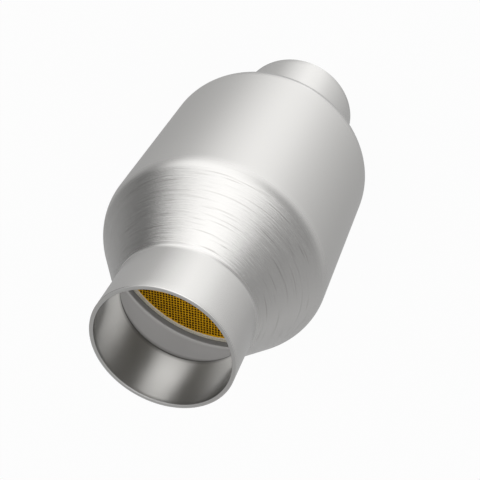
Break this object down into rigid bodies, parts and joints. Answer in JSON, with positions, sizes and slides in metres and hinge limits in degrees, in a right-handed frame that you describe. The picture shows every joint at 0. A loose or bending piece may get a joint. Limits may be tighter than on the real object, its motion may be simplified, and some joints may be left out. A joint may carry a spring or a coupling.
{
  "type": "catalytic converter",
  "caption": "Round stainless exhaust converter: a can spun down to a cone and a pipe neck at each end, around a ceramic honeycomb brick in a support mat.",
  "frame": {"origin": "centre of the lower neck's end plane", "axes": "+Z along the gas axis, from the lower neck to the upper one; X and Y along the webs of the brick's square channels"},
  "size_m": [0.1142, 0.1142, 0.2286],
  "materials": {
    "stainless_steel": "satin",
    "coated_ceramic": "matte",
    "fibre_mat": "matte",
    "knitted_wire": "satin"
  },
  "bodies": {
    "root": {"shell": "stainless_steel", "substrate": "coated_ceramic", "support_mat": "fibre_mat", "upper_seal": "knitted_wire", "lower_seal": "knitted_wire"}
  },
  "joints": []
}
